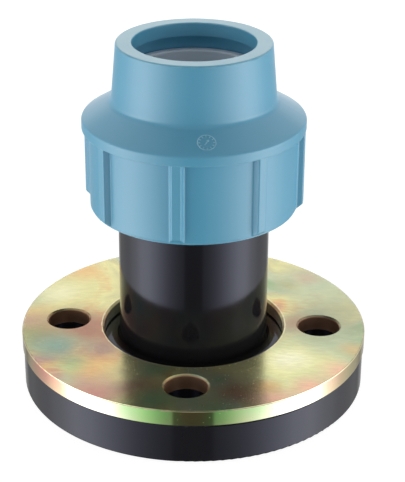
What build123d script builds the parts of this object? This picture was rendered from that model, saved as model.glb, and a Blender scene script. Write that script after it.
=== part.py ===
from build123d import *
import math
import os

# Flanged compression adaptor: a 50 mm pipe is pushed in from above and held by the union nut,
# and the disc at the bottom is bolted to a DN 40 flange.
# Millimetres. Z runs up the pipe's axis, and z = 0 is the sealing face under the flange.

# Pipe and the room around it
PIPE_OD = 50.0
PIPE_WALL = 4.5
SOCKET_CLEARANCE = 0.2
SOCKET_DEPTH = 39.0

# Seal, its seat and the bush that presses it
SEAL_SECTION = 6.0
SEAL_CLEARANCE = 0.3
SEAT_CLEARANCE = 0.1
NOSE_CLEARANCE = 0.2
NOSE_LENGTH = 4.0
BUSH_COLLAR_HEIGHT = 8.0
BUSH_SETBACK = 1.8
BUSH_CHAMFER = 0.6

# Body, from the flange up
FLANGE_THICKNESS = 17.3
FLANGE_EDGE_ROUNDING = 0.8
BODY_HEIGHT = 108.2
TUBE_WALL = 6.9
TUBE_FOOT_FILLET = 4.0
HEAD_WALL = 4.4
HEAD_LENGTH = 22.5
MOUTH_CHAMFER = 0.6

# Bolting, to the DN 40 pattern
BOLT_CIRCLE = 110.0
BOLT_HOLE = 18.0
BOLT_COUNT = 4
EDGE_MARGIN = 10.5

# Rings cut into the sealing face
GROOVE_COUNT = 4
GROOVE_PITCH = 3.5
GROOVE_WIDTH = 1.6
GROOVE_DEPTH = 0.8
GROOVE_MARGIN = 4.0

# Steel backing ring
RING_THICKNESS = 6.8
RING_OVERHANG = 0.5
RING_PASS_CLEARANCE = 0.8
RING_BORE_CHAMFER = 0.9
RING_HOLE_CHAMFER = 0.8
RING_EDGE_CHAMFER = 0.3

# Thread, a coarse buttress: the lower flank of the body's ridge carries the load
THREAD_LEAD = 6.0
THREAD_DEPTH = 2.6
THREAD_CREST = 1.6
LOAD_FLANK_DEG = 7.0
LEAD_FLANK_DEG = 30.0
THREAD_CLEARANCE = 0.5
FLANK_CLEARANCE = 0.4
BODY_TURNS = 2.6
BODY_THREAD_DROP = 4.0
NUT_TURNS = 3.0
NUT_ENTRY = 2.5
ROOT_OVERLAP = 0.4

# Grip ring
GRIP_CLEARANCE = 0.15
GRIP_HEIGHT = 24.7
GRIP_LEAD_IN = 0.6
CONE_HALF_ANGLE_DEG = 11.0
CONE_CLEARANCE = 0.3
TOOTH_COUNT = 7
TOOTH_PITCH = 2.8
TOOTH_DEPTH = 1.1
TOOTH_FOOT = 2.2
SPLIT_WIDTH = 7.0
SPLIT_ANGLE_DEG = -90.0

# Union nut, from the rim down
LIP_CLEARANCE = 0.5
LIP_WIDTH = 6.6
LIP_DEPTH = 5.8
LIP_LEDGE = 1.9
LIP_ROOM = 6.0
RIM_ROUNDING = 0.8
NECK_HEIGHT = 24.2
NECK_DRAFT_DEG = 5.0
NECK_FOOT_FILLET = 3.3
SHOULDER_HEIGHT = 7.6
SHOULDER_ROOF = 5.5
CAVITY_DROP = 1.5
COLLAR_HEIGHT = 4.2
COLLAR_PROUD = 2.9
COLLAR_ROUNDING = 1.5
COLLAR_FOOT_ROUNDING = 0.4
DRUM_HEIGHT = 34.7
DRUM_FOOT_CHAMFER = 0.9
NUT_WALL = 4.8
NUT_ENTRY_CHAMFER = 0.8
RIB_COUNT = 8
RIB_ANGLE_DEG = -5.7
RIB_PROUD = 2.6
RIB_BASE_WIDTH = 5.6
RIB_TIP_WIDTH = 4.0
RIB_ROUNDING = 0.7
RIB_FOOT_FILLET = 1.0
RIB_END_RISE = 2.1
RIB_SINK = 1.0

# Radii worked out from the pipe outwards
pipe_r = PIPE_OD / 2
waterway_r = pipe_r - PIPE_WALL
socket_r = pipe_r + SOCKET_CLEARANCE
seal_inner_r = pipe_r + SEAL_CLEARANCE
seal_middle_r = seal_inner_r + SEAL_SECTION / 2
seat_r = seal_inner_r + SEAL_SECTION + SEAT_CLEARANCE
tube_r = socket_r + TUBE_WALL
thread_root_r = seat_r + HEAD_WALL
thread_crest_r = thread_root_r + THREAD_DEPTH
nut_crest_r = thread_root_r + THREAD_CLEARANCE
nut_root_r = thread_crest_r + THREAD_CLEARANCE
drum_r = nut_root_r + NUT_WALL
collar_r = drum_r + COLLAR_PROUD
flange_r = (BOLT_CIRCLE + BOLT_HOLE) / 2 + EDGE_MARGIN
ring_r = flange_r + RING_OVERHANG
ring_bore_r = thread_crest_r + RING_PASS_CLEARANCE
bolt_r = BOLT_HOLE / 2

# Heights, from the body's mouth down to the stop and up to the nut's rim
ring_top_z = FLANGE_THICKNESS + RING_THICKNESS
seat_z = BODY_HEIGHT - NOSE_LENGTH - SEAL_SECTION
stop_z = seat_z - SOCKET_DEPTH
bush_top_z = BODY_HEIGHT + BUSH_COLLAR_HEIGHT
grip_top_z = bush_top_z + GRIP_HEIGHT
lip_z = grip_top_z + LIP_ROOM
rim_z = lip_z + LIP_DEPTH
neck_z = rim_z - NECK_HEIGHT
shoulder_z = neck_z - SHOULDER_HEIGHT
collar_z = shoulder_z - COLLAR_HEIGHT
nut_z = collar_z - DRUM_HEIGHT

# Cone that the nut and the grip ring share
lip_r = pipe_r + LIP_CLEARANCE
cone_slope = math.tan(math.radians(CONE_HALF_ANGLE_DEG))


def cone_r(z):
    """Radius of the nut's inner cone at height z."""
    return lip_r + LIP_LEDGE + (lip_z - z) * cone_slope


def turned(*corners):
    """Solid of revolution from corners (r, z) or (r, z, rounding)."""
    points = [(corner[0], corner[1]) for corner in corners]
    roundings = [corner[2] if len(corner) > 2 else 0 for corner in corners]
    outline = FilletPolyline(*points, radius=roundings, close=True)
    return revolve(Plane.XZ * make_face(outline.edges()), Axis.Z)


def around(solid, count, start_deg=0.0):
    """Copies of a solid spaced evenly round the axis."""
    return [Rot(0, 0, start_deg + 360 * k / count) * solid for k in range(count)]


def helical_ridge(base_r, depth, foot_low, foot_high, crest, start_z, turns, inward=False):
    """Thread ridge on a right-hand helix, with its foot sunk into the wall it stands on.

    foot_low and foot_high are how far the foot reaches below and above the crest's lower edge.
    """
    side = -1 if inward else 1
    sunk_r = base_r - side * ROOT_OVERLAP
    reach = ROOT_OVERLAP / depth
    low = foot_low * (1 + reach)
    high = crest + (foot_high - crest) * (1 + reach)
    tip_r = base_r + side * depth
    section = Polyline((sunk_r, -low), (tip_r, 0), (tip_r, crest), (sunk_r, high), close=True)
    path = Helix(THREAD_LEAD, THREAD_LEAD * turns, sunk_r)
    ridge = sweep(Plane.XZ * make_face(section.edges()), path=path, is_frenet=True)
    return Pos(0, 0, start_z) * ridge


def bolt_holes(radius, low_z, high_z):
    """Plugs for the bolt holes, on the axes."""
    plug = Cylinder(radius, high_z - low_z, align=(Align.CENTER, Align.CENTER, Align.MIN))
    return around(Pos(BOLT_CIRCLE / 2, 0, low_z) * plug, BOLT_COUNT)


def body():
    """Flange, tube and threaded head in one moulding."""
    head_z = BODY_HEIGHT - HEAD_LENGTH
    cone_foot_z = head_z - (thread_root_r - tube_r)
    solid = turned(
        (waterway_r, 0),
        (flange_r, 0, FLANGE_EDGE_ROUNDING),
        (flange_r, FLANGE_THICKNESS, FLANGE_EDGE_ROUNDING),
        (tube_r, FLANGE_THICKNESS, TUBE_FOOT_FILLET),
        (tube_r, cone_foot_z),
        (thread_root_r, head_z),
        (thread_root_r, BODY_HEIGHT - MOUTH_CHAMFER),
        (thread_root_r - MOUTH_CHAMFER, BODY_HEIGHT),
        (seat_r, BODY_HEIGHT),
        (seat_r, seat_z),
        (socket_r + MOUTH_CHAMFER, seat_z),
        (socket_r, seat_z - MOUTH_CHAMFER),
        (socket_r, stop_z),
        (waterway_r, stop_z),
    )
    solid -= bolt_holes(bolt_r, 0, FLANGE_THICKNESS)
    solid -= sealing_grooves()
    return solid + body_thread()


def sealing_grooves():
    """Concentric V grooves in the sealing face, which bite into the gasket."""
    grooves = []
    for k in range(GROOVE_COUNT):
        middle = waterway_r + GROOVE_MARGIN + GROOVE_WIDTH / 2 + k * GROOVE_PITCH
        low = (middle - GROOVE_WIDTH / 2, 0)
        high = (middle + GROOVE_WIDTH / 2, 0)
        grooves.append(turned(low, high, (middle, GROOVE_DEPTH)))
    return grooves


def body_thread():
    """Outer thread of the head."""
    load = THREAD_DEPTH * math.tan(math.radians(LOAD_FLANK_DEG))
    lead = THREAD_DEPTH * math.tan(math.radians(LEAD_FLANK_DEG))
    top_z = BODY_HEIGHT - BODY_THREAD_DROP
    start_z = top_z - BODY_TURNS * THREAD_LEAD
    return helical_ridge(
        thread_root_r, THREAD_DEPTH, load, THREAD_CREST + lead, THREAD_CREST, start_z, BODY_TURNS
    )


def nut_thread():
    """Inner thread of the nut, in the middle of the body's thread groove."""
    load_slope = math.tan(math.radians(LOAD_FLANK_DEG))
    lead_slope = math.tan(math.radians(LEAD_FLANK_DEG))
    body_start_z = BODY_HEIGHT - BODY_THREAD_DROP - BODY_TURNS * THREAD_LEAD
    to_crest = nut_crest_r - thread_crest_r
    # The groove at the nut's crest radius runs from the leading flank up to the next load flank.
    low = THREAD_CREST - to_crest * lead_slope + FLANK_CLEARANCE
    high = THREAD_LEAD + to_crest * load_slope - FLANK_CLEARANCE
    crest = high - low
    depth = nut_root_r - nut_crest_r
    start_z = body_start_z + low
    turns_down = math.floor((start_z - nut_z - NUT_ENTRY) / THREAD_LEAD)
    start_z -= turns_down * THREAD_LEAD
    return helical_ridge(
        nut_root_r, depth, depth * lead_slope, crest + depth * load_slope, crest, start_z,
        NUT_TURNS, inward=True
    )


def backing_ring():
    """Flat steel ring that spreads the bolts' load over the flange."""
    solid = turned(
        (ring_bore_r + RING_BORE_CHAMFER, FLANGE_THICKNESS),
        (ring_r - RING_EDGE_CHAMFER, FLANGE_THICKNESS),
        (ring_r, FLANGE_THICKNESS + RING_EDGE_CHAMFER),
        (ring_r, ring_top_z - RING_EDGE_CHAMFER),
        (ring_r - RING_EDGE_CHAMFER, ring_top_z),
        (ring_bore_r + RING_BORE_CHAMFER, ring_top_z),
        (ring_bore_r, ring_top_z - RING_BORE_CHAMFER),
        (ring_bore_r, FLANGE_THICKNESS + RING_BORE_CHAMFER),
    )
    solid -= bolt_holes(bolt_r, FLANGE_THICKNESS, ring_top_z)
    countersink = Cone(
        bolt_r, bolt_r + RING_HOLE_CHAMFER, RING_HOLE_CHAMFER,
        align=(Align.CENTER, Align.CENTER, Align.MAX)
    )
    solid -= around(Pos(BOLT_CIRCLE / 2, 0, ring_top_z) * countersink, BOLT_COUNT)
    return solid


def nut_shell():
    """Turned form of the nut, without the drum's outer wall and the thread."""
    core_r = drum_r - RIB_SINK / 2
    neck_top_r = lip_r + LIP_WIDTH
    neck_foot_r = neck_top_r + NECK_HEIGHT * math.tan(math.radians(NECK_DRAFT_DEG))
    cavity_z = shoulder_z - CAVITY_DROP
    seat_foot_z = neck_z - SHOULDER_ROOF
    return turned(
        (nut_root_r + NUT_ENTRY_CHAMFER, nut_z),
        (core_r, nut_z),
        (core_r, collar_z),
        (collar_r, collar_z, COLLAR_FOOT_ROUNDING),
        (collar_r, shoulder_z, COLLAR_ROUNDING),
        (neck_foot_r, neck_z, NECK_FOOT_FILLET),
        (neck_top_r, rim_z, RIM_ROUNDING),
        (lip_r, rim_z, RIM_ROUNDING / 2),
        (lip_r, lip_z),
        (cone_r(lip_z), lip_z),
        (cone_r(seat_foot_z), seat_foot_z),
        (nut_root_r, cavity_z),
        (nut_root_r, nut_z + NUT_ENTRY_CHAMFER),
    )


def ribbed_outline():
    """Drum's outline seen from above, with rounded rib tips and filleted rib feet."""
    foot_r = drum_r - RIB_SINK
    tip_r = drum_r + RIB_PROUD
    slope = (RIB_BASE_WIDTH - RIB_TIP_WIDTH) / 2 / RIB_PROUD
    half_foot = RIB_BASE_WIDTH / 2 + RIB_SINK * slope
    half_tip = RIB_TIP_WIDTH / 2
    rib = Polyline(
        (foot_r, -half_foot), (tip_r, -half_tip), (tip_r, half_tip), (foot_r, half_foot), close=True
    )
    outline = Rot(0, 0, RIB_ANGLE_DEG) * Circle(drum_r)
    outline += around(make_face(rib.edges()), RIB_COUNT, RIB_ANGLE_DEG)
    halfway_r = drum_r + RIB_PROUD / 2
    tips = [corner for corner in outline.vertices() if math.hypot(corner.X, corner.Y) > halfway_r]
    outline = fillet(tips, RIB_ROUNDING)
    feet = [corner for corner in outline.vertices() if math.hypot(corner.X, corner.Y) < halfway_r]
    return fillet(feet, RIB_FOOT_FILLET) - Circle(foot_r)


def drum_wall():
    """Outer wall of the drum with its grip ribs, which slope off at their lower ends."""
    wall = extrude(ribbed_outline(), DRUM_HEIGHT + RIB_SINK)
    reach_r = drum_r + RIB_PROUD + RIB_SINK
    slope_z = nut_z + DRUM_FOOT_CHAMFER
    envelope = turned(
        (0, nut_z),
        (drum_r - DRUM_FOOT_CHAMFER, nut_z),
        (drum_r, slope_z),
        (reach_r, slope_z + (reach_r - drum_r) * RIB_END_RISE / RIB_PROUD),
        (reach_r, collar_z + RIB_SINK),
        (0, collar_z + RIB_SINK),
    )
    return (Pos(0, 0, nut_z) * wall) & envelope


def union_nut():
    """Ribbed nut with its inner thread and the cone that closes the grip ring."""
    return nut_shell() + drum_wall() + nut_thread()


def grip_ring():
    """Split ring, conical outside and toothed inside."""
    tip_r = pipe_r + GRIP_CLEARANCE
    root_r = tip_r + TOOTH_DEPTH
    outer = [
        (cone_r(bush_top_z) - CONE_CLEARANCE, bush_top_z),
        (cone_r(grip_top_z) - CONE_CLEARANCE, grip_top_z),
    ]
    inner = [(tip_r + GRIP_LEAD_IN, grip_top_z), (tip_r, grip_top_z - GRIP_LEAD_IN)]
    for k in reversed(range(TOOTH_COUNT)):
        edge_z = bush_top_z + TOOTH_FOOT + k * TOOTH_PITCH
        inner.append((tip_r, edge_z))
        inner.append((root_r, edge_z))
    inner.append((root_r, bush_top_z))
    ring = turned(*outer, *inner)
    split = Box(
        2 * root_r, SPLIT_WIDTH, GRIP_HEIGHT, align=(Align.MIN, Align.CENTER, Align.MIN)
    )
    return ring - Rot(0, 0, SPLIT_ANGLE_DEG) * Pos(0, 0, bush_top_z) * split


def pressing_bush():
    """Ring with a collar on the head's mouth and a nose down to the seal."""
    collar_outer_r = thread_root_r - BUSH_SETBACK
    nose_r = seat_r - NOSE_CLEARANCE
    return turned(
        (seal_inner_r, BODY_HEIGHT - NOSE_LENGTH),
        (nose_r, BODY_HEIGHT - NOSE_LENGTH),
        (nose_r, BODY_HEIGHT),
        (collar_outer_r, BODY_HEIGHT),
        (collar_outer_r, bush_top_z - BUSH_CHAMFER),
        (collar_outer_r - BUSH_CHAMFER, bush_top_z),
        (seal_inner_r, bush_top_z),
    )


def o_ring():
    """Seal ring, lying on its seat under the bush's nose."""
    return Pos(0, 0, seat_z + SEAL_SECTION / 2) * Torus(seal_middle_r, SEAL_SECTION / 2)


def main():
    """Build each piece and write it under its own name."""
    os.makedirs("parts", exist_ok=True)
    pieces = {
        "body": body(),
        "backing_ring": backing_ring(),
        "union_nut": union_nut(),
        "grip_ring": grip_ring(),
        "pressing_bush": pressing_bush(),
        "o_ring": o_ring(),
    }
    for name, piece in pieces.items():
        export_step(piece, f"parts/{name}.step")


main()
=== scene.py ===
"""Finishes, moulding mark, studio and camera of a flanged compression adaptor.

Sizes in the classes are millimetres and meshes are metres. Z runs up the pipe's axis, and z = 0 is the
sealing face under the flange.
"""
import logging
import math
from dataclasses import dataclass, field, replace
from enum import Enum

import bmesh
import bpy
from mathutils import Matrix, Vector
from mathutils.bvhtree import BVHTree


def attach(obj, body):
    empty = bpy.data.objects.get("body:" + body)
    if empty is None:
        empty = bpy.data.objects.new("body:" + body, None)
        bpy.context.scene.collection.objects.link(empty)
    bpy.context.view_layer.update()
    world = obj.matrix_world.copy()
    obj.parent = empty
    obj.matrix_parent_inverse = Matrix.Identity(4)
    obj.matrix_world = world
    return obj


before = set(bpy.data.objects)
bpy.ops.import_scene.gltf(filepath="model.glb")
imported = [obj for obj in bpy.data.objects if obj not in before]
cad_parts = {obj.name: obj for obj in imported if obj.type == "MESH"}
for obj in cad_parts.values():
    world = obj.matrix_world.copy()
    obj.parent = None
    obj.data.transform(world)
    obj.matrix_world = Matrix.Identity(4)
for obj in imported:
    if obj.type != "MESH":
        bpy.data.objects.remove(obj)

LOG = logging.getLogger("adaptor")
MM = 0.001
MERGE_DISTANCE = 1e-7

Socket = bpy.types.NodeSocket
Value = Socket | float | int | tuple | Vector
Triple = tuple[float, float, float]
Colour = Triple

ORIGIN: Triple = (0.0, 0.0, 0.0)
UP: Triple = (0.0, 0.0, 1.0)
LEVEL_PARTS: Triple = (1.0, 1.0, 0.0)
GREY: Colour = (0.5, 0.5, 0.5)
WHITE: Colour = (1.0, 1.0, 1.0)


def tone(red: int, green: int, blue: int) -> Colour:
    """Turn a colour as it is seen on a screen into the linear one that the shaders take.

    Args:
        red: Red from 0 to 255.
        green: Green from 0 to 255.
        blue: Blue from 0 to 255.

    Returns:
        The linear colour.
    """
    linear = []
    for level in (red, green, blue):
        share = level / 255
        linear.append(share / 12.92 if share <= 0.04045 else ((share + 0.055) / 1.055) ** 2.4)
    return tuple(linear)


def heading(turn_deg: float) -> Vector:
    """Give the level unit vector that points away from the axis, turned to the right of the front."""
    turn = math.radians(turn_deg)
    return Vector((math.sin(turn), -math.cos(turn), 0.0))


class Kind(Enum):
    """Kinds of socket that an effect has."""

    FLOAT = "NodeSocketFloat"
    VECTOR = "NodeSocketVector"
    COLOUR = "NodeSocketColor"


class Effect(Enum):
    """Shader node groups that more than one finish uses."""

    PLACE = "place_on_the_part"
    GRAIN = "moulded_grain"
    DRIFT = "slow_tone_drift"
    SPECKS = "fine_specks"
    RIM_WEAR_AND_HIGHLIGHT = "wear_along_a_rim"
    TURNING = "turning_marks"
    SCRATCHES = "hairline_scratches"
    PATCH = "plating_patch"


class Graph:
    """Adds and links the nodes of one node tree."""

    def __init__(self, tree: bpy.types.NodeTree) -> None:
        """Start on a tree.

        Args:
            tree: The node tree to build in.
        """
        self.tree = tree

    def node(self, kind: str, **settings: object) -> bpy.types.Node:
        """Add a node.

        Args:
            kind: Type name of the node.
            **settings: Attributes to set on it.

        Returns:
            The new node.
        """
        made = self.tree.nodes.new(kind)
        for name, setting in settings.items():
            setattr(made, name, setting)
        return made

    def feed(self, socket: Socket, value: Value) -> None:
        """Link an output to an input, or set the input's own number.

        Args:
            socket: The input.
            value: An output socket, a number, or three numbers.
        """
        if isinstance(value, bpy.types.NodeSocket):
            self.tree.links.new(value, socket)
        elif isinstance(value, (tuple, Vector)):
            wide = socket.type == "RGBA"
            socket.default_value = (*value, 1.0) if wide else tuple(value)
        else:
            socket.default_value = value

    def fill(self, node: bpy.types.Node, **values: Value) -> None:
        """Feed a node's inputs by name, with underscores for spaces."""
        for name, value in values.items():
            self.feed(node.inputs[name.replace("_", " ")], value)

    def math(self, operation: str, *values: Value, clamp: bool = False) -> Socket:
        """Work out a number.

        Args:
            operation: Name of the operation.
            *values: Its operands.
            clamp: Whether the result is kept from 0 to 1.

        Returns:
            The result.
        """
        made = self.node("ShaderNodeMath", operation=operation, use_clamp=clamp)
        for socket, value in zip(made.inputs, values):
            self.feed(socket, value)
        return made.outputs[0]

    def vector(self, operation: str, *values: Value) -> Socket:
        """Work out a vector, or the number that a length, a distance or a dot product gives.

        Args:
            operation: Name of the operation.
            *values: Its operands.

        Returns:
            The result.
        """
        made = self.node("ShaderNodeVectorMath", operation=operation)
        slots = (made.inputs[0], made.inputs["Scale"]) if operation == "SCALE" else made.inputs
        for socket, value in zip(slots, values):
            self.feed(socket, value)
        return made.outputs["Value" if operation in ("LENGTH", "DISTANCE", "DOT_PRODUCT") else "Vector"]

    def span(self, value: Value, low: Value, high: Value, start: float = 0.0, end: float = 1.0) -> Socket:
        """Ease a number from one span to another.

        Args:
            value: The number.
            low: Where the ease begins.
            high: Where it ends.
            start: Result below the span.
            end: Result above the span.

        Returns:
            The eased number.
        """
        made = self.node("ShaderNodeMapRange", interpolation_type="SMOOTHSTEP")
        self.fill(made, Value=value, From_Min=low, From_Max=high, To_Min=start, To_Max=end)
        return made.outputs["Result"]

    def noise(self, vector: Socket, scale: Value, detail: float = 2.0, roughness: float = 0.5,
              distortion: float = 0.0, output: str = "Fac") -> Socket:
        """Add a noise.

        Args:
            vector: Where to read it.
            scale: Its scale.
            detail: Number of finer layers.
            roughness: Strength of the finer layers.
            distortion: How much it swirls.
            output: Fac for its level, or Color for three levels at once.

        Returns:
            The noise.
        """
        made = self.node("ShaderNodeTexNoise")
        self.fill(made, Vector=vector, Scale=scale, Detail=detail, Roughness=roughness, Distortion=distortion)
        return made.outputs[output]

    def ramp(self, value: Value, stops: tuple[tuple[float, Colour], ...]) -> Socket:
        """Colour a number by a ramp.

        Args:
            value: The number.
            stops: Places and linear colours, in order.

        Returns:
            The colour.
        """
        made = self.node("ShaderNodeValToRGB")
        self.feed(made.inputs[0], value)
        elements = made.color_ramp.elements
        while len(elements) < len(stops):
            elements.new(1.0)
        for element, (place, colour) in zip(elements, stops):
            element.position = place
            element.color = (*colour, 1.0)
        return made.outputs["Color"]

    def blend(self, share: Value, below: Value, above: Value) -> Socket:
        """Lay one colour over another.

        Args:
            share: How much of the upper colour shows.
            below: The lower colour.
            above: The upper colour.

        Returns:
            The mixed colour.
        """
        made = self.node("ShaderNodeMix", data_type="RGBA")
        for socket, value in zip((made.inputs[0], *made.inputs[6:8]), (share, below, above)):
            self.feed(socket, value)
        return made.outputs[2]

    def mixed(self, share: Value, below: Value, above: Value) -> Socket:
        """Mix two numbers.

        Args:
            share: How much of the upper number shows.
            below: The lower number.
            above: The upper number.

        Returns:
            The mixed number.
        """
        made = self.node("ShaderNodeMix", data_type="FLOAT")
        for socket, value in zip((made.inputs[0], *made.inputs[2:4]), (share, below, above)):
            self.feed(socket, value)
        return made.outputs[0]


class EffectShelf:
    """Builds each shared effect once and hands it out."""

    def __init__(self) -> None:
        """Start with an empty shelf."""
        self.built: dict[Effect, bpy.types.NodeTree] = {}

    def get(self, effect: Effect) -> bpy.types.NodeTree:
        """Give an effect's node group.

        Args:
            effect: Which effect.

        Returns:
            The node group.
        """
        if effect not in self.built:
            self.built[effect] = getattr(self, effect.name.lower())()
        return self.built[effect]

    def start(self, effect: Effect, inputs: dict[str, float | Colour], outputs: dict[str, Kind]) -> tuple:
        """Make an empty node group with its sockets.

        Args:
            effect: Which effect.
            inputs: Input names and first values; three numbers make a vector, or a colour by its name.
            outputs: Output names and kinds.

        Returns:
            The graph, the sockets that give the inputs, and the sockets that take the outputs.
        """
        tree = bpy.data.node_groups.new(effect.value, "ShaderNodeTree")
        for name, value in inputs.items():
            kind = Kind.FLOAT
            if isinstance(value, tuple):
                kind = Kind.COLOUR if name.endswith("Colour") else Kind.VECTOR
            socket = tree.interface.new_socket(name=name, in_out="INPUT", socket_type=kind.value)
            socket.default_value = (*value, 1.0) if kind is Kind.COLOUR else value
        for name, kind in outputs.items():
            tree.interface.new_socket(name=name, in_out="OUTPUT", socket_type=kind.value)
        graph = Graph(tree)
        return graph, graph.node("NodeGroupInput").outputs, graph.node("NodeGroupOutput").inputs

    def place(self) -> bpy.types.NodeTree:
        """Place in millimetres, and distance from an upright axis and height."""
        graph, given, result = self.start(
            Effect.PLACE, {"Axis": ORIGIN},
            {"Place": Kind.VECTOR, "Radius": Kind.FLOAT, "Height": Kind.FLOAT})
        place = graph.vector("SCALE", graph.node("ShaderNodeTexCoord").outputs["Object"], 1 / MM)
        flat = graph.vector("MULTIPLY", graph.vector("SUBTRACT", place, given["Axis"]), LEVEL_PARTS)
        height = graph.node("ShaderNodeSeparateXYZ")
        graph.feed(height.inputs[0], place)
        graph.feed(result["Place"], place)
        graph.feed(result["Radius"], graph.vector("LENGTH", flat))
        graph.feed(result["Height"], height.outputs["Z"])
        return graph.tree

    def grain(self) -> bpy.types.NodeTree:
        """Faint waviness and fine grain that a mould leaves on plastic."""
        graph, given, result = self.start(
            Effect.GRAIN, {"Place": ORIGIN, "Wave": 0.12, "Grain": 2.4, "Grain Share": 0.25},
            {"Height": Kind.FLOAT})
        wave = graph.noise(given["Place"], given["Wave"], detail=1.0)
        fine = graph.noise(given["Place"], given["Grain"], detail=3.0, roughness=0.6)
        share = given["Grain Share"]
        kept = graph.math("MULTIPLY", wave, graph.math("SUBTRACT", 1.0, share))
        graph.feed(result["Height"], graph.math("MULTIPLY_ADD", fine, share, kept))
        return graph.tree

    def drift(self) -> bpy.types.NodeTree:
        """Slow change of tone over a surface."""
        graph, given, result = self.start(
            Effect.DRIFT, {"Place": ORIGIN, "Base Colour": GREY, "Other Colour": GREY, "Scale": 0.03},
            {"Colour": Kind.COLOUR})
        level = graph.noise(given["Place"], given["Scale"], detail=3.0, distortion=0.4)
        share = graph.span(level, low=0.3, high=0.7)
        graph.feed(result["Colour"], graph.blend(share, given["Base Colour"], given["Other Colour"]))
        return graph.tree

    def specks(self) -> bpy.types.NodeTree:
        """Scattered specks, such as dust or pits."""
        graph, given, result = self.start(
            Effect.SPECKS, {"Place": ORIGIN, "Spacing": 2.0, "Size": 0.18, "Share": 0.4},
            {"Mask": Kind.FLOAT})
        cells = graph.node("ShaderNodeTexVoronoi")
        graph.fill(cells, Vector=given["Place"], Scale=graph.math("DIVIDE", 1.0, given["Spacing"]))
        reach = graph.math("DIVIDE", given["Size"], given["Spacing"])
        core = graph.math("MULTIPLY", reach, 0.5)
        dot = graph.span(cells.outputs["Distance"], core, reach, start=1.0, end=0.0)
        pick = graph.node("ShaderNodeSeparateColor")
        graph.feed(pick.inputs[0], cells.outputs["Color"])
        chosen = graph.math("LESS_THAN", pick.outputs[0], given["Share"])
        graph.feed(result["Mask"], graph.math("MULTIPLY", dot, chosen))
        return graph.tree

    def rim_wear_and_highlight(self) -> bpy.types.NodeTree:
        """Broken band along a round edge: wear, and painted highlight where the edge catches light."""
        graph, given, result = self.start(
            Effect.RIM_WEAR_AND_HIGHLIGHT, {"Place": ORIGIN, "Radius": 0.0, "Height": 0.0, "Edge Radius": 10.0,
                              "Edge Height": 0.0, "Width": 0.6},
            {"Mask": Kind.FLOAT})
        across = graph.math("SUBTRACT", given["Radius"], given["Edge Radius"])
        along = graph.math("SUBTRACT", given["Height"], given["Edge Height"])
        squares = graph.math("MULTIPLY_ADD", across, across, graph.math("MULTIPLY", along, along))
        broken = graph.noise(given["Place"], scale=0.35, detail=4.0, roughness=0.65)
        spread = graph.span(broken, low=0.3, high=0.7, start=0.35, end=1.4)
        reach = graph.math("MULTIPLY", given["Width"], spread)
        away = graph.math("DIVIDE", graph.math("SQRT", squares), reach)
        graph.feed(result["Mask"], graph.span(away, low=0.3, high=1.0, start=1.0, end=0.0))
        return graph.tree

    def turning(self) -> bpy.types.NodeTree:
        """Fine uneven rings that a lathe or a drill leaves."""
        graph, given, result = self.start(
            Effect.TURNING, {"Distance": 0.0, "Pitch": 0.5}, {"Height": Kind.FLOAT})
        count = graph.math("DIVIDE", given["Distance"], given["Pitch"])
        rings = graph.node("ShaderNodeTexNoise", noise_dimensions="1D")
        graph.fill(rings, W=count, Scale=1.0, Detail=4.0, Roughness=0.7)
        graph.feed(result["Height"], rings.outputs["Fac"])
        return graph.tree

    def scratches(self) -> bpy.types.NodeTree:
        """Short hairlines in one main direction."""
        graph, given, result = self.start(
            Effect.SCRATCHES, {"Place": ORIGIN, "Turn": ORIGIN, "Spacing": 3.0, "Share": 0.3},
            {"Mask": Kind.FLOAT})
        turned = graph.node("ShaderNodeVectorRotate", rotation_type="EULER_XYZ")
        graph.fill(turned, Vector=given["Place"], Rotation=given["Turn"])
        stretched = graph.vector("MULTIPLY", turned.outputs["Vector"], (0.08, 1.6, 0.0))
        wander = graph.noise(given["Place"], scale=0.15, detail=1.0)
        sway = graph.node("ShaderNodeCombineXYZ")
        graph.fill(sway, Y=graph.math("MULTIPLY", wander, 1.5))
        swayed = graph.vector("ADD", stretched, sway.outputs["Vector"])
        lines = graph.noise(swayed, scale=1.0, detail=2.0, roughness=0.7)
        ridge = graph.math("ABSOLUTE", graph.math("SUBTRACT", lines, 0.5))
        thin = graph.span(ridge, low=0.0, high=0.012, start=1.0, end=0.0)
        crowd = graph.noise(given["Place"], graph.math("DIVIDE", 1.0, given["Spacing"]), detail=1.0)
        shown = graph.math("GREATER_THAN", given["Share"], crowd)
        graph.feed(result["Mask"], graph.math("MULTIPLY", thin, shown))
        return graph.tree

    def patch(self) -> bpy.types.NodeTree:
        """Soft patch of another colour on the plating, with a swirled edge, for tints and painted highlight.
        """
        graph, given, result = self.start(
            Effect.PATCH, {"Place": ORIGIN, "Under Colour": GREY, "Patch Colour": GREY, "Middle": ORIGIN,
                           "Reach": 20.0, "Strength": 1.0},
            {"Colour": Kind.COLOUR})
        swirl = graph.noise(given["Place"], scale=0.035, detail=5.0, output="Color")
        push = graph.math("MULTIPLY", given["Reach"], 0.9)
        pushed = graph.vector("SCALE", graph.vector("SUBTRACT", swirl, GREY), push)
        moved = graph.vector("ADD", given["Place"], pushed)
        away = graph.math("DIVIDE", graph.vector("DISTANCE", moved, given["Middle"]), given["Reach"])
        near = graph.span(away, low=0.0, high=1.0, start=1.0, end=0.0)
        share = graph.math("MULTIPLY", near, given["Strength"])
        graph.feed(result["Colour"], graph.blend(share, given["Under Colour"], given["Patch Colour"]))
        return graph.tree


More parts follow.
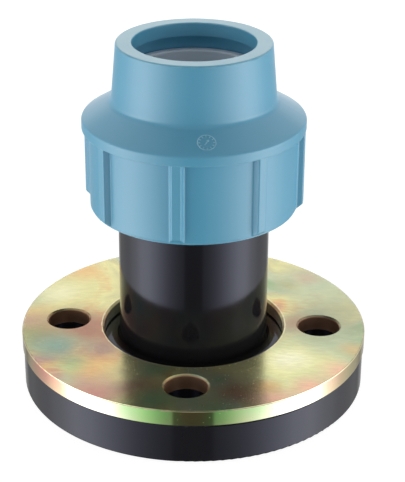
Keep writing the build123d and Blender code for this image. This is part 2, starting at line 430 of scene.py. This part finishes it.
class Shading:
    """One material under way: its graph, its surface shader and the part's place."""

    def __init__(self, name: str, shelf: EffectShelf) -> None:
        """Start a material.

        Args:
            name: The material's name.
            shelf: The shared effects.
        """
        self.material = bpy.data.materials.new(name)
        self.material.use_nodes = True
        self.shelf = shelf
        self.graph = Graph(self.material.node_tree)
        self.surface = self.material.node_tree.nodes["Principled BSDF"]
        where = self.use(Effect.PLACE)
        self.place, self.radius, self.height = where["Place"], where["Radius"], where["Height"]

    def use(self, effect: Effect, **values: Value) -> bpy.types.bpy_prop_collection:
        """Place a shared effect in the material.

        Args:
            effect: Which effect.
            **values: Its inputs, with underscores for spaces.

        Returns:
            Its outputs, by name.
        """
        made = self.graph.node("ShaderNodeGroup", node_tree=self.shelf.get(effect))
        self.graph.fill(made, **values)
        return made.outputs

    def rim(self, edge_radius: float, edge_height: float, width: float) -> Socket:
        """Give the mask of a band along a round edge about the main axis, for wear and painted highlight.

        Args:
            edge_radius: The edge's radius.
            edge_height: The edge's height.
            width: How far the band reaches.

        Returns:
            The mask.
        """
        wear_and_highlight_band = self.use(Effect.RIM_WEAR_AND_HIGHLIGHT, Place=self.place, Radius=self.radius, Height=self.height,
                        Edge_Radius=edge_radius, Edge_Height=edge_height, Width=width)
        return wear_and_highlight_band["Mask"]

    def bump(self, height: Socket, distance: float, under: Socket | None = None) -> Socket:
        """Raise the surface.

        Args:
            height: The relief, from 0 to 1.
            distance: Its depth in millimetres.
            under: A normal that lies under it.

        Returns:
            The new normal.
        """
        made = self.graph.node("ShaderNodeBump")
        self.graph.fill(made, Strength=1.0, Distance=distance * MM, Height=height)
        if under is not None:
            self.graph.feed(made.inputs["Normal"], under)
        return made.outputs["Normal"]


@dataclass(frozen=True)
class MouldedPlastic:
    """Moulded plastic with a faint waviness, fine grain and paler rims: part wear, part painted highlight."""

    name: str
    base: Colour
    other: Colour
    # Paler colour of the rim bands and the top face: wear, and painted highlight.
    wear_and_highlight_colour: Colour
    roughness: float
    roughness_change: float
    wave: float
    wave_depth: float
    grain: float
    grain_share: float
    drift_scale: float = 0.025
    scuff_scale: float = 0.05
    speck_share: float = 0.0
    speck_colour: Colour = GREY
    speck_spacing: float = 3.0
    speck_size: float = 0.16
    speck_strength: float = 0.6
    rims: tuple[Triple, ...] = ()
    rim_strength: float = 0.3
    # Height above which the top face is painted paler, as painted reflection of the bright backdrop.
    painted_light_above: float | None = None
    painted_light_ease: float = 0.1
    painted_light_strength: float = 0.65
    specular: float = 0.5
    specular_tint: Colour = WHITE

    def material(self, shelf: EffectShelf) -> bpy.types.Material:
        """Make the material.

        Args:
            shelf: The shared effects.

        Returns:
            The material.
        """
        shading = Shading(self.name, shelf)
        graph = shading.graph
        colour = shading.use(Effect.DRIFT, Place=shading.place, Base_Colour=self.base,
                             Other_Colour=self.other, Scale=self.drift_scale)["Colour"]
        if self.speck_share > 0:
            specks = shading.use(Effect.SPECKS, Place=shading.place, Spacing=self.speck_spacing,
                                 Size=self.speck_size, Share=self.speck_share)["Mask"]
            specks = graph.math("MULTIPLY", specks, self.speck_strength)
            colour = graph.blend(specks, colour, self.speck_colour)
        # Rim bands in the paler colour: partly wear, partly painted highlight on rounded edges.
        for edge_radius, edge_height, width in self.rims:
            wear_and_highlight_band = graph.math("MULTIPLY", shading.rim(edge_radius, edge_height, width), self.rim_strength)
            colour = graph.blend(wear_and_highlight_band, colour, self.wear_and_highlight_colour)
        # The top face painted paler: painted reflection of the bright backdrop.
        if self.painted_light_above is not None:
            top = graph.span(shading.height, self.painted_light_above, self.painted_light_above + self.painted_light_ease,
                             start=0.0, end=self.painted_light_strength)
            colour = graph.blend(top, colour, self.wear_and_highlight_colour)
        grain = shading.use(Effect.GRAIN, Place=shading.place, Wave=self.wave, Grain=self.grain,
                            Grain_Share=self.grain_share)["Height"]
        scuffs = graph.noise(shading.place, self.scuff_scale, detail=5.0, roughness=0.7)
        rough = graph.span(scuffs, low=0.25, high=0.75, start=self.roughness - self.roughness_change,
                           end=self.roughness + self.roughness_change)
        graph.fill(shading.surface, Base_Color=colour, Roughness=rough,
                   Specular_IOR_Level=self.specular, Specular_Tint=self.specular_tint,
                   Normal=shading.bump(grain, self.wave_depth))
        return shading.material


@dataclass(frozen=True)
class Patch:
    """One soft patch of colour on the plating; most are tints, the white side ones painted highlight."""

    colour: Colour
    middle: Triple
    reach: float
    strength: float


@dataclass(frozen=True)
class PlatedSteel:
    """Turned steel with yellow passivated zinc, which shows pale rainbow tints."""

    name: str
    ring_radius: float
    bore_radius: float
    top: float
    bolt_circle_radius: float
    hole_radius: float
    tints: tuple[tuple[float, Colour], ...]
    patches: tuple[Patch, ...]
    side_patches: tuple[Patch, ...]
    side_tint: Colour
    hole_tint: Colour = tone(184, 138, 112)
    pit_tint: Colour = tone(96, 92, 60)
    scratch_tint: Colour = tone(250, 238, 170)
    # Pale edge colour: wear, and painted highlight along the top's outer edge.
    edge_tint: Colour = tone(250, 238, 196)
    roughness: float = 0.22
    roughness_change: float = 0.05
    side_roughness: float = 0.06
    hole_dullness: float = 0.15
    pit_dullness: float = 0.3
    metal_share: float = 0.78
    swirl_scale: float = 0.021
    streak_stretch: Triple = (0.05, 0.25, 0.05)
    streak_share: float = 0.1
    fine_stretch: Triple = (0.25, 0.8, 0.3)
    fine_share: float = 0.12
    mottling: float = 0.12
    pit_strength: float = 0.7
    hair_strength: float = 0.22
    hole_strength: float = 0.85
    edge_strength: float = 0.7
    edge_near: float = 0.15
    edge_far: float = 0.5
    outer_wear_and_highlight: float = 0.7
    bore_wear: float = 0.6
    face_pitch: float = 0.9
    wall_pitch: float = 0.55
    mark_depth: float = 0.012
    pit_depth: float = 0.05
    edge_round: float = 0.7
    edge_depth: float = 0.3

    def bolt_axes(self) -> list[Triple]:
        """Give a point on each bolt hole's axis."""
        reach = self.bolt_circle_radius
        return [(reach, 0.0, 0.0), (0.0, reach, 0.0), (-reach, 0.0, 0.0), (0.0, -reach, 0.0)]

    def patched(self, shading: Shading, colour: Value, patches: tuple[Patch, ...]) -> Socket:
        """Lay patches over a colour: plating tints, and painted highlight on the side.

        Args:
            shading: The material under way.
            colour: The colour under them.
            patches: The patches, the lowest first.

        Returns:
            The patched colour.
        """
        for spot in patches:
            colour = shading.use(Effect.PATCH, Place=shading.place, Under_Colour=colour,
                                 Patch_Colour=spot.colour, Middle=spot.middle, Reach=spot.reach,
                                 Strength=spot.strength)["Colour"]
        return colour

    def tinted(self, shading: Shading, outside: Socket) -> Socket:
        """Colour the plating.

        Args:
            shading: The material under way.
            outside: Mask of the ring's outer side.

        Returns:
            The plating's colour.
        """
        graph = shading.graph
        level = graph.noise(shading.place, self.swirl_scale, detail=3.0, roughness=0.55, distortion=0.9)
        streak = graph.noise(graph.vector("MULTIPLY", shading.place, self.streak_stretch), scale=1.0,
                             detail=4.0, roughness=0.6)
        fine = graph.noise(graph.vector("MULTIPLY", shading.place, self.fine_stretch), scale=1.0,
                           detail=4.0, roughness=0.7)
        for noise, share in ((streak, self.streak_share), (fine, self.fine_share)):
            level = graph.math("MULTIPLY_ADD", graph.math("SUBTRACT", noise, 0.5), share, level)
        top = self.patched(shading, graph.ramp(level, self.tints), self.patches)
        mottle = graph.span(fine, low=0.35, high=0.65, start=self.mottling, end=0.0)
        top = graph.blend(mottle, top, self.pit_tint)
        side = self.patched(shading, self.side_tint, self.side_patches)
        return graph.blend(outside, top, side)

    def material(self, shelf: EffectShelf) -> bpy.types.Material:
        """Make the material.

        Args:
            shelf: The shared effects.

        Returns:
            The material.
        """
        shading = Shading(self.name, shelf)
        graph = shading.graph
        outside = graph.span(shading.radius, low=self.ring_radius - self.edge_far,
                             high=self.ring_radius - self.edge_near)
        pits = shading.use(Effect.SPECKS, Place=shading.place, Spacing=1.3, Size=0.2, Share=0.32)["Mask"]
        crowd = graph.noise(shading.place, scale=0.03, detail=1.0)
        pits = graph.math("MULTIPLY", pits, graph.span(crowd, low=0.42, high=0.6))
        hairs = shading.use(Effect.SCRATCHES, Place=shading.place, Turn=(0.0, 0.0, 0.9), Spacing=9.0,
                            Share=0.4)["Mask"]
        walls = 0.0
        for axis in self.bolt_axes():
            about = shading.use(Effect.PLACE, Axis=axis)["Radius"]
            wall = graph.span(about, self.hole_radius + self.edge_near, self.hole_radius + self.edge_far,
                              start=1.0, end=0.0)
            walls = graph.math("MAXIMUM", walls, wall)
        # Pale bands along the top's outer and bore edges: wear, and on the outer edge painted highlight.
        edges = graph.math("MAXIMUM", shading.rim(self.ring_radius, self.top, self.outer_wear_and_highlight),
                           shading.rim(self.bore_radius, self.top, self.bore_wear))
        colour = self.tinted(shading, outside)
        for mask, strength, tint in ((pits, self.pit_strength, self.pit_tint),
                                     (hairs, self.hair_strength, self.scratch_tint),
                                     (walls, self.hole_strength, self.hole_tint),
                                     (edges, self.edge_strength, self.edge_tint)):
            colour = graph.blend(graph.math("MULTIPLY", mask, strength), colour, tint)
        dull = graph.noise(shading.place, scale=0.08, detail=5.0, roughness=0.65)
        rough = graph.span(dull, low=0.25, high=0.75, start=self.roughness - self.roughness_change,
                           end=self.roughness + self.roughness_change)
        rough = graph.mixed(outside, rough, self.side_roughness)
        for mask, dullness in ((walls, self.hole_dullness), (pits, self.pit_dullness)):
            rough = graph.math("MULTIPLY_ADD", mask, dullness, rough)
        face_marks = shading.use(Effect.TURNING, Distance=shading.radius, Pitch=self.face_pitch)["Height"]
        wall_marks = shading.use(Effect.TURNING, Distance=shading.height, Pitch=self.wall_pitch)["Height"]
        normal = shading.bump(graph.mixed(walls, face_marks, wall_marks), self.mark_depth)
        normal = shading.bump(graph.math("SUBTRACT", 1.0, pits), self.pit_depth, under=normal)
        inward = graph.span(shading.radius, self.ring_radius - self.edge_round, self.ring_radius,
                            start=1.0, end=0.0)
        normal = shading.bump(inward, self.edge_depth, under=normal)
        graph.fill(shading.surface, Base_Color=colour, Roughness=rough, Normal=normal,
                   Metallic=graph.mixed(outside, self.metal_share, 1.0))
        return shading.material


def dress(node_name: str, material: bpy.types.Material) -> None:
    """Give a carried-over node its material.

    Args:
        node_name: The node.
        material: Its new material.
    """
    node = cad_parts[node_name]
    for slot in node.material_slots:
        slot.material = material
    LOG.info("dressed %s with %s", node_name, material.name)


def finished(name: str, form: bmesh.types.BMesh, material: bpy.types.Material, body: str) -> bpy.types.Object:
    """Turn a finished form into a piece that rides on a body.

    Args:
        name: The piece's name.
        form: The form, in metres; it is freed.
        material: The piece's material.
        body: The body that carries it.

    Returns:
        The piece.
    """
    bmesh.ops.remove_doubles(form, verts=form.verts, dist=MERGE_DISTANCE)
    bmesh.ops.recalc_face_normals(form, faces=form.faces)
    mesh = bpy.data.meshes.new(name)
    form.to_mesh(mesh)
    form.free()
    mesh.materials.append(material)
    for polygon in mesh.polygons:
        polygon.use_smooth = True
    piece = bpy.data.objects.new(name, mesh)
    bpy.context.scene.collection.objects.link(piece)
    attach(piece, body)
    LOG.info("made %s, %d faces", name, len(mesh.polygons))
    return piece


@dataclass
class FlangedBody:
    """Black one-piece moulding: flange disc, tube and threaded head."""

    flange_radius: float = 74.5
    flange_top: float = 17.3

    def finish(self) -> MouldedPlastic:
        """Give the body's finish."""
        return MouldedPlastic(
            name="black_polypropylene", base=tone(26, 26, 29), other=tone(30, 30, 33),
            wear_and_highlight_colour=tone(70, 70, 74), roughness=0.11, roughness_change=0.02, specular=0.54,
            specular_tint=tone(220, 225, 255), wave=0.05, wave_depth=0.02, grain=1.4, grain_share=0.03,
            speck_share=0.10, speck_colour=tone(74, 74, 78),
            rims=((self.flange_radius, self.flange_top, 0.7), (self.flange_radius, 0.0, 0.7)))

    def build(self, shelf: EffectShelf) -> None:
        """Dress the body.

        Args:
            shelf: The shared effects.
        """
        dress("body", self.finish().material(shelf))


@dataclass
class SealSet:
    """Pieces inside the nut that close on the pipe: bush, seal and grip ring."""

    bush: MouldedPlastic = field(default_factory=lambda: MouldedPlastic(
        name="black_bush_plastic", base=tone(34, 34, 35), other=tone(40, 40, 41), wear_and_highlight_colour=tone(70, 70, 72),
        roughness=0.38, roughness_change=0.05, wave=0.1, wave_depth=0.02, grain=2.2, grain_share=0.2,
        speck_share=0.05, speck_colour=tone(80, 80, 82)))
    seal: MouldedPlastic = field(default_factory=lambda: MouldedPlastic(
        name="seal_rubber", base=tone(26, 26, 26), other=tone(33, 33, 33), wear_and_highlight_colour=tone(50, 50, 50),
        roughness=0.55, roughness_change=0.08, wave=0.2, wave_depth=0.02, grain=3.5, grain_share=0.4,
        speck_share=0.2, speck_colour=tone(90, 90, 88)))
    grip: MouldedPlastic = field(default_factory=lambda: MouldedPlastic(
        name="pale_acetal", base=tone(226, 236, 246), other=tone(230, 238, 246), wear_and_highlight_colour=tone(236, 240, 244),
        roughness=0.42, roughness_change=0.06, wave=0.1, wave_depth=0.02, grain=2.0, grain_share=0.2,
        speck_share=0.05, speck_colour=tone(150, 148, 140)))

    def build(self, shelf: EffectShelf) -> None:
        """Dress the three pieces.

        Args:
            shelf: The shared effects.
        """
        dress("pressing_bush", self.bush.material(shelf))
        dress("o_ring", self.seal.material(shelf))
        dress("grip_ring", self.grip.material(shelf))


@dataclass
class BackingRing:
    """Loose steel ring that the bolts press on."""

    radius: float = 75.0
    bore_radius: float = 40.1
    top: float = 24.1
    bolt_circle_radius: float = 55.0
    hole_radius: float = 9.0

    def spots(self, *rows: tuple[Colour, float, float, float, float]) -> tuple[Patch, ...]:
        """Make patches level with the ring's top, from rows of tint, x, y, reach and strength."""
        return tuple(Patch(tint, (x, y, self.top), reach, strength) for tint, x, y, reach, strength in rows)

    def finish(self) -> PlatedSteel:
        """Give the ring's finish, with tints where the real plating shows them, and painted highlight on the
        side.
        """
        yellow = tone(228, 222, 158)
        bright = tone(250, 246, 176)
        pale = tone(251, 249, 212)
        straw = tone(206, 200, 150)
        aqua = tone(138, 166, 148)
        green = tone(152, 186, 136)
        olive = tone(162, 162, 112)
        pink = tone(174, 124, 104)
        mauve = tone(168, 138, 128)
        rose = tone(204, 146, 134)
        orange = tone(232, 188, 126)
        salmon = tone(252, 196, 166)
        dim = tone(168, 172, 140)
        mist = tone(190, 200, 166)
        side_sage = tone(200, 222, 176)
        side_green = tone(176, 249, 150)
        side_painted_highlight = tone(252, 250, 238)
        side_rose = tone(250, 182, 162)
        side_cream = tone(244, 230, 180)
        side_straw = tone(250, 230, 158)
        return PlatedSteel(
            name="yellow_zinc_steel", ring_radius=self.radius, bore_radius=self.bore_radius,
            top=self.top, bolt_circle_radius=self.bolt_circle_radius, hole_radius=self.hole_radius,
            tints=((0.30, rose), (0.38, orange), (0.45, yellow), (0.53, straw), (0.62, mist), (0.70, green)),
            patches=self.spots(
                (yellow, -56, 30, 34, 0.9),
                (pale, -62, 24, 14, 0.5),
                (orange, -56, 47, 16, 0.9),
                (orange, -70, 4, 14, 0.6),
                (olive, -66, -16, 30, 1.0),
                (pink, -44, -8, 29, 1.0),
                (rose, -71, -3, 12, 0.5),
                (aqua, -58, -27, 20, 1.0),
                (mauve, -37, -27, 17, 0.9),
                (orange, -37, -43, 15, 1.0),
                (rose, -37, -61, 20, 1.0),
                (green, -48, -40, 13, 0.7),
                (rose, -55, -49, 9, 0.7),
                (pink, -19, -58, 13, 0.8),
                (green, -13, -69, 18, 1.0),
                (green, -12, -42, 12, 0.8),
                (green, 14, -72, 13, 0.7),
                (pink, 23, -57, 14, 0.9),
                (bright, 42, -34, 34, 1.0),
                (pale, 43, -31, 15, 0.9),
                (salmon, 36, -63, 14, 1.0),
                (salmon, 51, -54, 13, 1.0),
                (salmon, 63, -41, 13, 0.9),
                (mist, 63, -15, 20, 1.0),
                (orange, 70, -22, 10, 0.6),
                (orange, 33, -53, 9, 0.8),
                (dim, 58, 8, 36, 1.0),
                (pink, 45, 2, 14, 0.6),
                (mist, 54, 38, 28, 1.0),
                (olive, 39, 38, 10, 0.5),
                (rose, 50, 46, 11, 0.4),
            ),
            side_patches=self.spots(
                (straw, -72, -20, 26, 0.9),
                # White side patches where the highlights fall: painted highlight.
                (side_painted_highlight, -35, -66, 30, 1.0),
                (side_painted_highlight, 43, -61, 30, 1.0),
                (side_rose, -59, -46, 21, 1.0),
                (side_sage, -22.5, -71.5, 17, 1.0),
                (side_sage, 30, -68.7, 17, 1.0),
                (side_green, -9.5, -74.4, 20, 1.0),
                (side_green, 17, -73, 20, 1.0),
                (side_straw, 4, -74.9, 12, 1.0),
                (side_rose, 60, -45, 14, 0.5),
            ),
            side_tint=side_cream)

    def build(self, shelf: EffectShelf) -> None:
        """Dress the ring.

        Args:
            shelf: The shared effects.
        """
        dress("backing_ring", self.finish().material(shelf))


@dataclass
class DateMark:
    """Raised round mark that a mould's date insert leaves: a rim, twelve ticks and a pointer."""

    turn_deg: float = 10.0
    height: float = 124.6
    rim_radius: float = 3.62
    line_width: float = 0.46
    relief: float = 0.18
    # Paler than the nut's blue: painted highlight on the raised lines.
    colour: Colour = tone(196, 236, 248)
    tick_count: int = 12
    tick_inner: float = 2.5
    tick_outer: float = 3.3
    pointer_length: float = 3.0
    pointer_width: float = 0.5
    pointer_turn_deg: float = 55.0
    barb_turn_deg: float = 150.0
    barb_length: float = 0.9
    rim_taper: float = 0.5
    bar_taper: float = 0.6
    round_steps: int = 48
    clearance: float = 4.0

    def rim(self, form: bmesh.types.BMesh) -> None:
        """Add the round rim.

        Args:
            form: The form under way, flat, in millimetres.
        """
        half = self.line_width / 2
        top = half * self.rim_taper
        corners = ((-half, 0.0), (-top, self.relief), (top, self.relief), (half, 0.0))
        verts = [form.verts.new((self.rim_radius + across, 0.0, up)) for across, up in corners]
        edges = [form.edges.new(pair) for pair in zip(verts, verts[1:] + verts[:1])]
        bmesh.ops.spin(form, geom=verts + edges, cent=ORIGIN, axis=UP, angle=2 * math.pi,
                       steps=self.round_steps, use_merge=True, use_duplicate=False)

    def bar(self, form: bmesh.types.BMesh, start: float, end: float, width: float, turn_deg: float) -> None:
        """Add a raised bar that points away from the middle.

        Args:
            form: The form under way, flat, in millimetres.
            start: Where it starts along its direction.
            end: Where it ends.
            width: Its width.
            turn_deg: Its direction.
        """
        made = bmesh.ops.create_cube(form, size=1.0)["verts"]
        for vert in made:
            if vert.co.z > 0:
                vert.co.y *= self.bar_taper
        scale = Matrix.Diagonal((end - start, width, self.relief, 1.0))
        shift = Matrix.Translation(((start + end) / 2, 0.0, self.relief / 2))
        turn = Matrix.Rotation(math.radians(turn_deg), 4, "Z")
        bmesh.ops.transform(form, matrix=turn @ shift @ scale, verts=made)

    def form(self) -> bmesh.types.BMesh:
        """Make the flat mark, in millimetres."""
        form = bmesh.new()
        self.rim(form)
        for number in range(self.tick_count):
            self.bar(form, self.tick_inner, self.tick_outer, self.line_width, 360 * number / self.tick_count)
        half = self.pointer_length / 2
        self.bar(form, -half, half, self.pointer_width, self.pointer_turn_deg)
        tip = Matrix.Rotation(math.radians(self.pointer_turn_deg), 4, "Z") @ Vector((half, 0.0, 0.0))
        for side in (self.barb_turn_deg, -self.barb_turn_deg):
            known = set(form.verts)
            self.bar(form, 0.0, self.barb_length, self.line_width, self.pointer_turn_deg + side)
            barb = [vert for vert in form.verts if vert not in known]
            bmesh.ops.translate(form, vec=tip, verts=barb)
        return form

    def lay_on(self, form: bmesh.types.BMesh, node_name: str) -> None:
        """Lay the flat mark on a node's outer surface.

        Args:
            form: The flat mark, in millimetres; it ends in metres.
            node_name: The node that carries it.
        """
        carrier = bmesh.new()
        carrier.from_mesh(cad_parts[node_name].data)
        surface = BVHTree.FromBMesh(carrier)
        carrier.free()
        out = heading(self.turn_deg)
        level = Vector((0.0, 0.0, self.height * MM))
        middle, normal, _, _ = surface.ray_cast(level + out, -out)
        across = Vector(UP).cross(normal).normalized()
        up = normal.cross(across)
        for vert in form.verts:
            flat = middle + (across * vert.co.x + up * vert.co.y) * MM
            hit, _, _, _ = surface.ray_cast(flat + normal * self.clearance * MM, -normal)
            vert.co = (hit or flat) + normal * vert.co.z * MM

    def build(self, material: bpy.types.Material) -> bpy.types.Object:
        """Build the mark on the nut's shoulder.

        Args:
            material: The mark's material.

        Returns:
            The piece.
        """
        form = self.form()
        self.lay_on(form, "union_nut")
        return finished("date_mark", form, material, "nut")


@dataclass
class UnionNut:
    """Blue ribbed nut with the date mark on its shoulder."""

    rim_radius: float = 32.1
    bore_radius: float = 25.5
    rim_height: float = 152.7
    drum_radius: float = 43.7
    drum_bottom: float = 82.0
    collar_radius: float = 46.6
    collar_bottom: float = 116.7
    mark: DateMark = field(default_factory=DateMark)

    def finish(self) -> MouldedPlastic:
        """Give the nut's finish."""
        return MouldedPlastic(
            name="blue_polypropylene", base=tone(85, 162, 194), other=tone(89, 165, 197),
            wear_and_highlight_colour=tone(138, 196, 212), specular=1.0, roughness=0.315, roughness_change=0.03, wave=0.08,
            wave_depth=0.03, grain=1.1, grain_share=0.05,
            # Rim bands are partly painted highlight; the rim's top face is painted reflection.
            rims=((self.rim_radius, self.rim_height, 0.9), (self.bore_radius, self.rim_height, 0.7),
                  (self.drum_radius, self.drum_bottom, 0.9), (self.collar_radius, self.collar_bottom, 0.7)),
            rim_strength=0.35, painted_light_above=self.rim_height - 0.15)

    def build(self, shelf: EffectShelf) -> None:
        """Dress the nut and add its mark.

        Args:
            shelf: The shared effects.
        """
        finish = self.finish()
        dress("union_nut", finish.material(shelf))
        # The mark takes the nut's finish in its paler colour, a painted highlight.
        self.mark.build(replace(finish, name="blue_mark_painted_highlight", base=self.mark.colour).material(shelf))


@dataclass(frozen=True)
class Glow:
    """One part of the light round about: its level by turn from the camera, times its level by rise."""

    by_turn: tuple[tuple[float, float], ...]
    by_rise: tuple[tuple[float, float], ...]


@dataclass
class Studio:
    """Pale floor in soft light: bright low sides, a lit backdrop, a dark front and a dim ceiling."""

    front_deg: float
    glows: tuple[Glow, ...] = (
        Glow(by_turn=((0, 0.0), (12.5, 0.03), (14.5, 0.22), (20, 0.31), (30, 0.6), (40, 0.98), (50, 1.55),
                      (60, 2.1), (72, 2.6), (85, 2.4), (100, 1.35), (115, 0.7), (125, 0.5), (140, 0.3),
                      (150, 0.1), (165, 0.2), (180, 0.57)),
             by_rise=((-90, 0.0), (-62, 0.1), (-50, 0.6), (-28, 1.0), (-8, 0.95), (5, 1.35), (13, 1.45),
                      (20, 0.2), (28, 0.04), (40, 0.0))),
        Glow(by_turn=((120, 0.0), (130, 0.1), (140, 0.3), (150, 0.55), (157, 1.0), (180, 1.0)),
             by_rise=((-90, 0.0), (-62, 0.2), (-50, 0.5), (-28, 0.22), (-8, 0.9), (8, 0.8), (14, 1.4),
                      (18, 1.75), (21, 1.7), (25, 1.0), (38, 1.0), (50, 0.2), (60, 0.0))),
        Glow(by_turn=((0, 1.0), (20, 1.0), (40, 0.8), (60, 0.5), (80, 0.25), (100, 0.1), (125, 0.0)),
             by_rise=((-60, 0.04), (-28, 0.05), (-8, 0.28), (5, 0.1), (12, 0.0))),
        Glow(by_turn=((0, 0.4), (60, 0.4), (90, 0.6), (105, 0.9), (118, 1.0), (130, 0.9), (145, 0.7),
                      (158, 0.2), (180, 0.1)),
             by_rise=((18, 0.0), (27, 0.4), (38, 0.9), (60, 1.0), (75, 0.5), (90, 0.4))),
    )
    backdrop: Glow = Glow(by_turn=((150, 0.0), (158, 1.0), (180, 1.0)),
                          by_rise=((14, 0.0), (25, 1.0), (38, 1.0), (50, 0.0)))
    floor_half: float = 6.0
    floor_drop: float = 0.02
    floor_colour: Colour = tone(150, 150, 150)
    floor_glow: float = 0.9

    def floor(self) -> None:
        """Lay the floor, white to the camera apart from the part's soft shadow."""
        form = bmesh.new()
        bmesh.ops.create_grid(form, x_segments=1, y_segments=1, size=self.floor_half)
        bmesh.ops.translate(form, vec=(0.0, 0.0, -self.floor_drop * MM), verts=form.verts)
        mesh = bpy.data.meshes.new("floor")
        form.to_mesh(mesh)
        form.free()
        floor = bpy.data.objects.new("floor", mesh)
        material = bpy.data.materials.new("pale_floor")
        material.use_nodes = True
        material.node_tree.nodes.clear()
        graph = Graph(material.node_tree)
        pale = graph.node("ShaderNodeBsdfDiffuse")
        graph.fill(pale, Color=self.floor_colour)
        seen = graph.node("ShaderNodeLightPath").outputs["Is Camera Ray"]
        glow = graph.node("ShaderNodeEmission")
        graph.fill(glow, Strength=graph.math("MULTIPLY", seen, self.floor_glow))
        both = graph.node("ShaderNodeAddShader")
        for socket, shader in zip(both.inputs, (pale, glow)):
            graph.feed(socket, shader.outputs[0])
        graph.fill(graph.node("ShaderNodeOutputMaterial"), Surface=both.outputs[0])
        mesh.materials.append(material)
        for kind in ("diffuse", "glossy", "transmission", "shadow"):
            setattr(floor, f"visible_{kind}", False)
        bpy.context.scene.collection.objects.link(floor)
        LOG.info("laid the floor")

    def curve(self, graph: Graph, share: Socket, stops: list[tuple[float, float]]) -> Socket:
        """Give a level that follows a share from 0 to 1.

        Args:
            graph: The world's graph.
            share: The share.
            stops: Shares and levels.

        Returns:
            The level.
        """
        brightest = max(level for _, level in stops)
        greys = tuple((place, (level / brightest,) * 3) for place, level in stops)
        return graph.math("MULTIPLY", graph.ramp(share, greys), brightest)

    def level(self, graph: Graph, glow: Glow, turn: Socket, rise: Socket) -> Socket:
        """Give a glow's level in the direction looked at.

        Args:
            graph: The world's graph.
            glow: The glow.
            turn: Turn from the camera, as a share from 0 to 1.
            rise: Rise, as a share from 0 to 1.

        Returns:
            The level.
        """
        across = [((1 - math.cos(math.radians(place))) / 2, level) for place, level in glow.by_turn]
        upward = [((1 + math.sin(math.radians(place))) / 2, level) for place, level in glow.by_rise]
        return graph.math("MULTIPLY", self.curve(graph, turn, across), self.curve(graph, rise, upward))

    def surroundings(self) -> None:
        """Set the world: white to the camera and in the backdrop's mirror image, and the studio's light."""
        world = bpy.data.worlds.new("studio")
        world.use_nodes = True
        bpy.context.scene.world = world
        graph = Graph(world.node_tree)
        direction = graph.node("ShaderNodeTexCoord").outputs["Generated"]
        level_way = graph.vector("NORMALIZE", graph.vector("MULTIPLY", direction, LEVEL_PARTS))
        facing = graph.vector("DOT_PRODUCT", level_way, heading(self.front_deg))
        rising = graph.vector("DOT_PRODUCT", direction, UP)
        turn = graph.math("MULTIPLY_ADD", facing, -0.5, 0.5)
        rise = graph.math("MULTIPLY_ADD", rising, 0.5, 0.5)
        whole = 0.0
        for glow in self.glows:
            whole = graph.math("ADD", whole, self.level(graph, glow, turn, rise))
        path = graph.node("ShaderNodeLightPath").outputs
        mirrored = graph.math("MAXIMUM", path["Is Glossy Ray"], path["Is Transmission Ray"])
        mirrored = graph.math("MULTIPLY", mirrored, self.level(graph, self.backdrop, turn, rise))
        white = graph.math("MAXIMUM", path["Is Camera Ray"], mirrored)
        graph.fill(world.node_tree.nodes["Background"], Color=WHITE,
                   Strength=graph.math("MAXIMUM", whole, white))
        LOG.info("set the surroundings")

    def build(self) -> None:
        """Set the whole studio up."""
        self.floor()
        self.surroundings()


@dataclass
class Camera:
    """Camera at the photograph's angle, with sizes in the photograph's 405 by 482 frame."""

    front_deg: float = 3.03
    distance: float = 583.35
    height: float = 338.07
    pitch_deg: float = 25.209
    roll_deg: float = 0.183
    focal_px: float = 1501.9
    axis_px: float = 193.65
    frame_wide_px: float = 405.0
    frame_tall_px: float = 482.0
    sensor: float = 36.0
    clip_start: float = 0.01

    def build(self) -> None:
        """Make the camera and choose it."""
        data = bpy.data.cameras.new("camera")
        data.sensor_fit = "AUTO"
        data.sensor_width = self.sensor
        data.lens = self.focal_px / self.frame_tall_px * self.sensor
        data.shift_x = (self.frame_wide_px / 2 - self.axis_px) / self.frame_tall_px
        data.clip_start = self.clip_start
        camera = bpy.data.objects.new("camera", data)
        place = heading(self.front_deg) * self.distance * MM
        turn = Matrix.Rotation(math.radians(self.front_deg), 4, "Z")
        pitch = Matrix.Rotation(math.radians(90.0 - self.pitch_deg), 4, "X")
        roll = Matrix.Rotation(math.radians(self.roll_deg), 4, "Z")
        place.z = self.height * MM
        camera.matrix_world = Matrix.Translation(place) @ turn @ pitch @ roll
        bpy.context.scene.collection.objects.link(camera)
        bpy.context.scene.camera = camera
        LOG.info("placed the camera")


def corners(box: tuple) -> list[list[float]]:
    """Turn a box's two corners into plain lists.

    Args:
        box: The lowest and the highest corner.

    Returns:
        The corners as lists of numbers.
    """
    return [[float(number) for number in corner] for corner in box]


def main() -> None:
    """Dress the part, build its mark, and set the studio and the camera up."""
    logging.basicConfig(level=logging.INFO, format="%(name)s: %(message)s")
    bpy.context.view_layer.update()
    bpy.context.scene.view_settings.view_transform = "Standard"
    shelf = EffectShelf()
    for assembly in (FlangedBody(), BackingRing(), SealSet(), UnionNut()):
        assembly.build(shelf)
    camera = Camera()
    camera.build()
    Studio(camera.front_deg).build()


if __name__ == "__main__":
    main()
